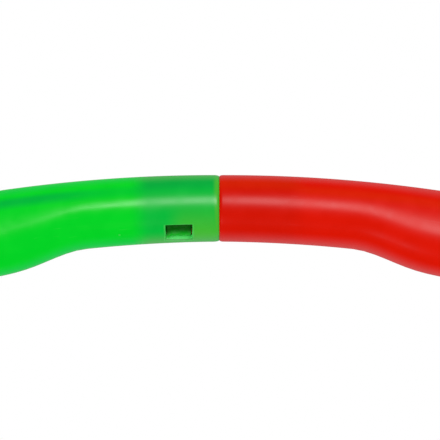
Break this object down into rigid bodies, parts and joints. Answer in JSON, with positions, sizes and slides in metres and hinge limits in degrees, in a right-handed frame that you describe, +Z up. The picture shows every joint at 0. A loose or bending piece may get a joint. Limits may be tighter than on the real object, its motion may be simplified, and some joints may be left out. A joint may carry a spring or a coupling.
{
  "type": "sectional wavy hoop",
  "caption": "Push-together exercise hoop with a wavy inner edge, alternating red and translucent green sections, and a latch window at each joint.",
  "frame": {"origin": "middle of the hoop, on the surface that it lies on", "axes": "+Z up along the hoop's axis, +Y towards the joint between section_1 and section_8, +X towards section_2's joint with section_3"},
  "size_m": [0.8992, 0.8992, 0.0213],
  "materials": {
    "red_shell": "smooth satin-gloss blow-moulded polyethylene, opaque",
    "green_shell": "smooth satin-gloss blow-moulded polyethylene, slightly translucent",
    "red_coupling": "smooth moulded plastic",
    "green_coupling": "smooth moulded plastic",
    "red_latch": "smooth moulded plastic",
    "green_latch": "smooth moulded plastic, slightly translucent"
  },
  "bodies": {
    "section_1": {"shell_1": "red_shell", "coupling_1": "red_coupling"},
    "section_2": {"shell_2": "green_shell", "coupling_2": "green_coupling"},
    "section_3": {"shell_3": "red_shell", "coupling_3": "red_coupling"},
    "section_4": {"shell_4": "green_shell", "coupling_4": "green_coupling"},
    "section_5": {"shell_5": "red_shell", "coupling_5": "red_coupling"},
    "section_6": {"shell_6": "green_shell", "coupling_6": "green_coupling"},
    "section_7": {"shell_7": "red_shell", "coupling_7": "red_coupling"},
    "section_8": {"shell_8": "green_shell", "coupling_8": "green_coupling"},
    "latch_1": {"latch_1": "red_latch"},
    "latch_2": {"latch_2": "green_latch"},
    "latch_3": {"latch_3": "red_latch"},
    "latch_4": {"latch_4": "green_latch"},
    "latch_5": {"latch_5": "red_latch"},
    "latch_6": {"latch_6": "green_latch"},
    "latch_7": {"latch_7": "red_latch"},
    "latch_8": {"latch_8": "green_latch"}
  },
  "joints": [
    {"name": "section_8_pull", "type": "slide", "parent": "section_1", "child": "section_8", "axis": [-1, 0, 0], "range_m": [0, 0.025], "deforming": ["latch_8"]},
    {"name": "section_7_pull", "type": "slide", "parent": "section_8", "child": "section_7", "axis": [-0.7071, -0.7071, 0], "range_m": [0, 0.025], "deforming": ["latch_7"]},
    {"name": "section_6_pull", "type": "slide", "parent": "section_7", "child": "section_6", "axis": [0, -1, 0], "range_m": [0, 0.025], "deforming": ["latch_6"]},
    {"name": "section_5_pull", "type": "slide", "parent": "section_6", "child": "section_5", "axis": [0.7071, -0.7071, 0], "range_m": [0, 0.025], "deforming": ["latch_5"]},
    {"name": "section_2_pull", "type": "slide", "parent": "section_1", "child": "section_2", "axis": [0.7071, -0.7071, 0], "range_m": [0, 0.025], "deforming": ["latch_1"]},
    {"name": "section_3_pull", "type": "slide", "parent": "section_2", "child": "section_3", "axis": [0, -1, 0], "range_m": [0, 0.025], "deforming": ["latch_2"]},
    {"name": "section_4_pull", "type": "slide", "parent": "section_3", "child": "section_4", "axis": [-0.7071, -0.7071, 0], "range_m": [0, 0.025], "deforming": ["latch_3", "latch_4"]},
    {"name": "latch_1_lift", "type": "hinge", "parent": "section_1", "child": "latch_1", "pos_m": [0.29489, 0.31738, 0.01628], "axis": [-0.4545, -0.4545, -0.766], "range_deg": [0, 11], "stiffness_Nm_per_rad": 0.02, "springref_deg": -5.73},
    {"name": "latch_2_lift", "type": "hinge", "parent": "section_2", "child": "latch_2", "pos_m": [0.43294, 0.0159, 0.01628], "axis": [-0.6428, 0, -0.766], "range_deg": [0, 11], "stiffness_Nm_per_rad": 0.02, "springref_deg": -5.73},
    {"name": "latch_3_lift", "type": "hinge", "parent": "section_3", "child": "latch_3", "pos_m": [0.31738, -0.29489, 0.01628], "axis": [-0.4545, 0.4545, -0.766], "range_deg": [0, 11], "stiffness_Nm_per_rad": 0.02, "springref_deg": -5.73},
    {"name": "latch_4_lift", "type": "hinge", "parent": "section_4", "child": "latch_4", "pos_m": [0.0159, -0.43294, 0.01628], "axis": [0, 0.6428, -0.766], "range_deg": [0, 11], "stiffness_Nm_per_rad": 0.02, "springref_deg": -5.73},
    {"name": "latch_5_lift", "type": "hinge", "parent": "section_5", "child": "latch_5", "pos_m": [-0.29489, -0.31738, 0.01628], "axis": [0.4545, 0.4545, -0.766], "range_deg": [0, 11], "stiffness_Nm_per_rad": 0.02, "springref_deg": -5.73},
    {"name": "latch_6_lift", "type": "hinge", "parent": "section_6", "child": "latch_6", "pos_m": [-0.43294, -0.0159, 0.01628], "axis": [0.6428, 0, -0.766], "range_deg": [0, 11], "stiffness_Nm_per_rad": 0.02, "springref_deg": -5.73},
    {"name": "latch_7_lift", "type": "hinge", "parent": "section_7", "child": "latch_7", "pos_m": [-0.31738, 0.29489, 0.01628], "axis": [0.4545, -0.4545, -0.766], "range_deg": [0, 11], "stiffness_Nm_per_rad": 0.02, "springref_deg": -5.73},
    {"name": "latch_8_lift", "type": "hinge", "parent": "section_8", "child": "latch_8", "pos_m": [-0.0159, 0.43294, 0.01628], "axis": [0, -0.6428, -0.766], "range_deg": [0, 11], "stiffness_Nm_per_rad": 0.02, "springref_deg": -5.73}
  ],
  "couplings": [
    {"joint": "section_7_pull", "follows": "section_8_pull", "ratio": 1},
    {"joint": "section_6_pull", "follows": "section_8_pull", "ratio": 1},
    {"joint": "section_5_pull", "follows": "section_8_pull", "ratio": 1},
    {"joint": "section_2_pull", "follows": "section_8_pull", "ratio": 1},
    {"joint": "section_3_pull", "follows": "section_8_pull", "ratio": 1},
    {"joint": "section_4_pull", "follows": "section_8_pull", "ratio": 1}
  ]
}
